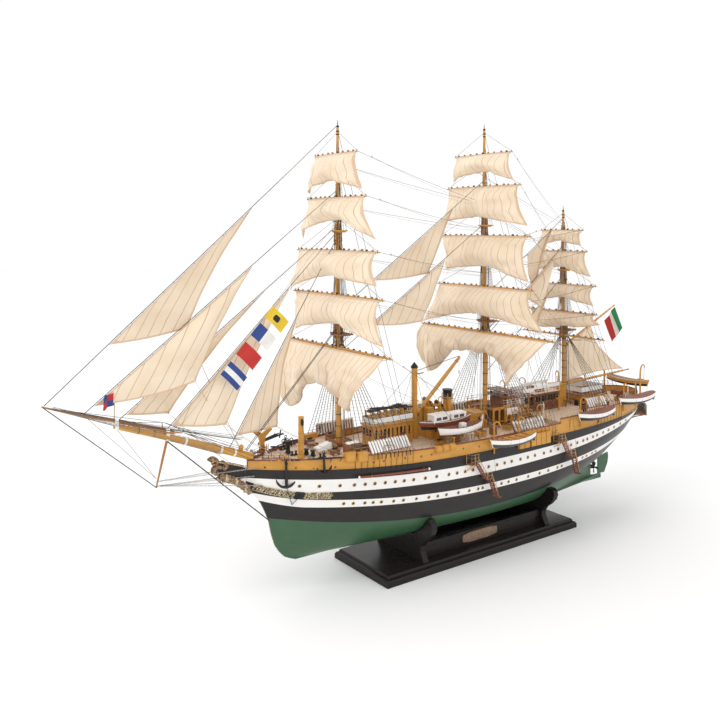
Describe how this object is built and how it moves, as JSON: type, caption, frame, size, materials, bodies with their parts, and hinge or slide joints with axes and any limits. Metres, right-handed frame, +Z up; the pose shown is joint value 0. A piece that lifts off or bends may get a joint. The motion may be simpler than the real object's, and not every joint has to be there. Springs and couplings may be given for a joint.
{
  "type": "display model of a three-masted sailing ship on a cradle stand",
  "caption": "Wooden display model of a full-rigged training ship under sail, with black and white banded hull, deck houses, boats and a black cradle stand on a moulded plinth.",
  "frame": {"origin": "centre of the plinth's underside", "axes": "+X towards the bow, +Y to port, +Z up"},
  "size_m": [1.0093, 0.282, 0.62],
  "materials": {
    "black_wood": "black satin lacquer on wood",
    "bronze": "dark bronze, blank",
    "hull_paint": "satin hull paint: green bottom, black and white bands above",
    "ochre": "satin ochre paint",
    "deck_wood": "pale planked wood",
    "carving": "carved and toned with gold",
    "brown_wood": "varnished brown wood",
    "black_metal": "blackened metal and black cord",
    "white_paint": "satin white paint",
    "sailcloth": "matt cream sewn cotton"
  },
  "bodies": {
    "ship": {"plinth": "black_wood", "fore_cradle": "black_wood", "aft_cradle": "black_wood", "side_board_port": "black_wood", "side_board_starboard": "black_wood", "nameplate": "bronze", "hull": "hull_paint", "bulwark_port": "ochre", "bulwark_starboard": "ochre", "foremast": "ochre", "mainmast": "ochre", "mizzenmast": "ochre", "bowsprit": "ochre", "fore_deckhouse": "ochre", "kingpost": "ochre", "funnel_casing": "ochre", "after_house": "ochre", "deck": "deck_wood", "stem_head": "carving", "stern_gallery": "brown_wood", "wheelhouse": "brown_wood", "fore_stay": "black_metal", "skid_boats_port": "white_paint", "skid_boats_starboard": "white_paint", "waist_boat_port": "white_paint", "waist_boat_starboard": "white_paint", "quarter_boat_port": "white_paint", "quarter_boat_starboard": "white_paint", "stern_boat_port": "white_paint", "stern_boat_starboard": "white_paint", "fore_royal": "sailcloth", "fore_topgallant": "sailcloth", "fore_upper_topsail": "sailcloth", "fore_lower_topsail": "sailcloth", "fore_course": "sailcloth", "main_royal": "sailcloth", "main_topgallant": "sailcloth", "main_upper_topsail": "sailcloth", "main_lower_topsail": "sailcloth", "main_course": "sailcloth", "mizzen_royal": "sailcloth", "mizzen_topgallant": "sailcloth", "mizzen_upper_topsail": "sailcloth", "mizzen_lower_topsail": "sailcloth", "flying_jib": "sailcloth", "outer_jib": "sailcloth", "middle_jib": "sailcloth", "inner_jib": "sailcloth", "topmast_staysail": "sailcloth", "main_upper_staysail": "sailcloth", "main_lower_staysail": "sailcloth", "mizzen_upper_staysail": "sailcloth", "mizzen_middle_staysail": "sailcloth", "mizzen_lower_staysail": "sailcloth"},
    "rudder": {"rudder": "hull_paint"},
    "propeller": {"propeller": "black_metal"},
    "spanker_rig": {"spanker_boom": "ochre", "spanker_gaff": "ochre", "spanker": "sailcloth"},
    "derrick": {"derrick_boom": "ochre"}
  },
  "joints": [
    {"name": "rudder_turn", "type": "hinge", "parent": "ship", "child": "rudder", "pos_m": [-0.315, 0, 0.06], "axis": [0, 0, 1], "range_deg": [-35, 35]},
    {"name": "propeller_spin", "type": "hinge", "parent": "ship", "child": "propeller", "pos_m": [-0.303, 0, 0.058], "axis": [1, 0, 0], "continuous": true},
    {"name": "spanker_swing", "type": "hinge", "parent": "ship", "child": "spanker_rig", "pos_m": [-0.227, 0, 0.2075], "axis": [0, 0, 1], "range_deg": [-12, 12]},
    {"name": "derrick_slew", "type": "hinge", "parent": "ship", "child": "derrick", "pos_m": [0.09, 0, 0.2], "axis": [0, 0, 1], "range_deg": [-25, 25]}
  ]
}
